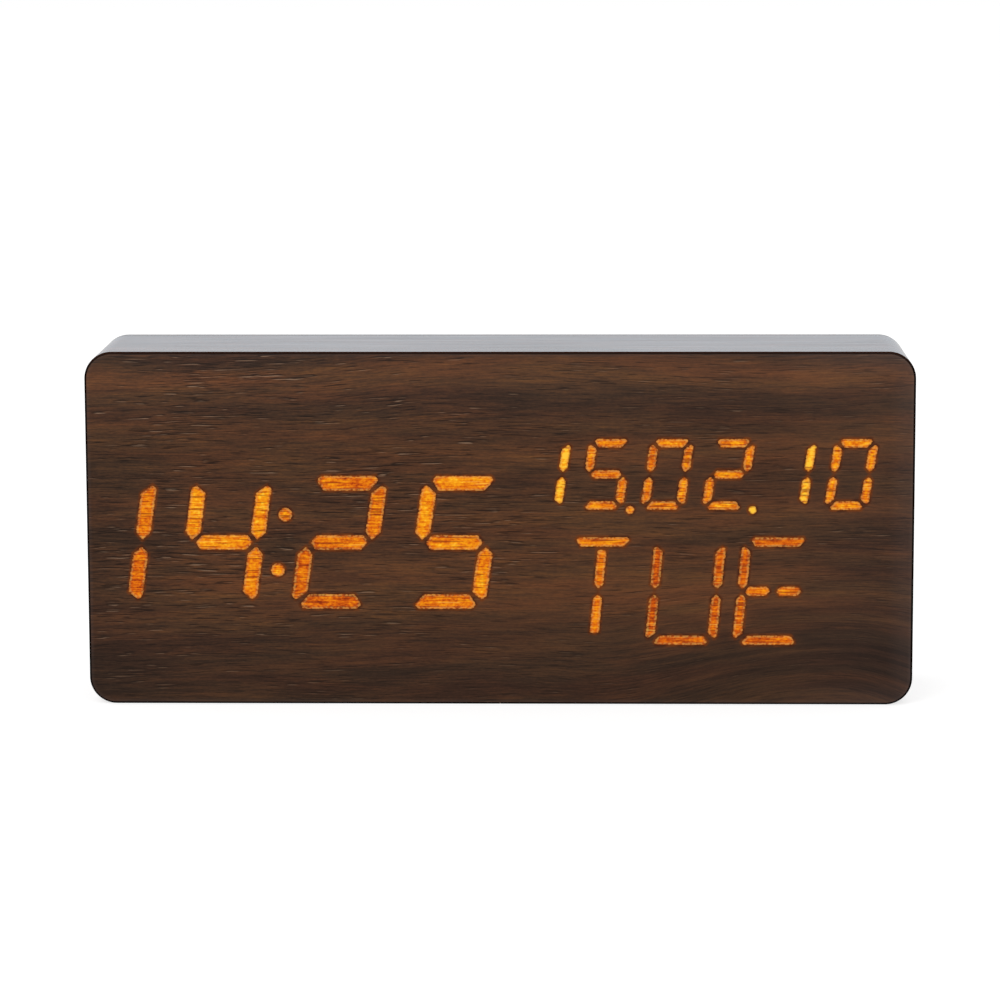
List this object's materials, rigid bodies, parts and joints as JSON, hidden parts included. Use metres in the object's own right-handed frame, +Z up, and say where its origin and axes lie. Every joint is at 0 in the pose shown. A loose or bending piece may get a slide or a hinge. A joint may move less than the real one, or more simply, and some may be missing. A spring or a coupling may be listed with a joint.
{
  "type": "digital alarm clock",
  "caption": "Low wide digital alarm clock: a dark walnut block with rounded corners, amber time, date and weekday glowing through the veneer, and keys and a battery bay on its back.",
  "frame": {"origin": "under the middle of the base, on the surface that the clock stands on", "axes": "+Z up, +X to the right seen from the front, -Y out of the lit front"},
  "size_m": [0.209, 0.04, 0.09],
  "materials": {
    "sleeve_wrap": "fibreboard wrapped in a satin dark walnut film",
    "panel_board": "bare fibreboard",
    "veneer": "thin dark walnut veneer, satin",
    "lit_amber": "amber light through the veneer",
    "lit_orange": "amber light through the veneer, a little dimmer",
    "diffuser": "milky diffuser film",
    "mask_plastic": "white moulded plastic",
    "lamp_resin": "clear amber resin",
    "board_laminate": "green circuit board laminate",
    "screw_steel": "zinc-plated steel",
    "screw_black": "black oxide steel",
    "chip_black": "black moulding compound",
    "crystal_can": "drawn steel can",
    "capacitor_sleeve": "dark blue shrink sleeve",
    "holder_black": "black nylon",
    "cell_steel": "stainless steel",
    "cover_black": "black-brown moulded plastic, fine spark texture",
    "cell_jacket": "plain printed jacket without words",
    "contact_nickel": "nickel-plated steel",
    "lead_red": "red wire insulation",
    "lead_black": "black wire insulation",
    "key_black": "satin black-brown plastic",
    "switch_black": "black switch housing",
    "plunger_ivory": "ivory plunger",
    "socket_black": "black socket housing",
    "buzzer_black": "black buzzer can",
    "mic_can": "drawn aluminium can",
    "sensor_bead": "brown resin bead",
    "ribbon_grey": "grey flat cable",
    "plug_white": "white nylon plug"
  },
  "bodies": {
    "clock_body": {"casing": "sleeve_wrap", "front_panel": "panel_board", "front_veneer": "veneer", "time_digits": "lit_amber", "date_digits": "lit_amber", "weekday_letters": "lit_orange", "diffuser_film": "diffuser", "display_mask": "mask_plastic", "segment_lamps": "lamp_resin", "main_board": "board_laminate", "main_board_screws": "screw_steel", "controller_chip": "chip_black", "driver_chips": "chip_black", "clock_crystal": "crystal_can", "capacitor": "capacitor_sleeve", "coin_cell_holder": "holder_black", "coin_cell": "cell_steel", "rear_cover": "cover_black", "rear_cover_screws": "screw_black", "battery_1": "cell_jacket", "battery_2": "cell_jacket", "battery_3": "cell_jacket", "battery_springs": "contact_nickel", "battery_plates": "contact_nickel", "positive_lead": "lead_red", "negative_lead": "lead_black", "control_board": "board_laminate", "control_board_screws": "screw_steel", "switch_bodies": "switch_black", "power_socket": "socket_black", "socket_pin": "contact_nickel", "buzzer": "buzzer_black", "microphone": "mic_can", "temperature_sensor": "sensor_bead", "ribbon_cable": "ribbon_grey", "ribbon_plugs": "plug_white"},
    "battery_door": {"battery_door": "cover_black"},
    "set_key": {"set_button": "key_black", "set_plunger": "plunger_ivory"},
    "up_key": {"up_button": "key_black", "up_plunger": "plunger_ivory"},
    "down_key": {"down_button": "key_black", "down_plunger": "plunger_ivory"}
  },
  "joints": [
    {"name": "door_hinge", "type": "hinge", "parent": "clock_body", "child": "battery_door", "pos_m": [0.0736, 0.0173, 0.045], "axis": [0, 0, -1], "range_deg": [0, 90]},
    {"name": "set_press", "type": "slide", "parent": "clock_body", "child": "set_key", "axis": [0, -1, 0], "range_m": [0, 0.0005], "stiffness_N_per_m": 600, "springref_m": -0.001},
    {"name": "up_press", "type": "slide", "parent": "clock_body", "child": "up_key", "axis": [0, -1, 0], "range_m": [0, 0.0005], "stiffness_N_per_m": 600, "springref_m": -0.001},
    {"name": "down_press", "type": "slide", "parent": "clock_body", "child": "down_key", "axis": [0, -1, 0], "range_m": [0, 0.0005], "stiffness_N_per_m": 600, "springref_m": -0.001}
  ]
}
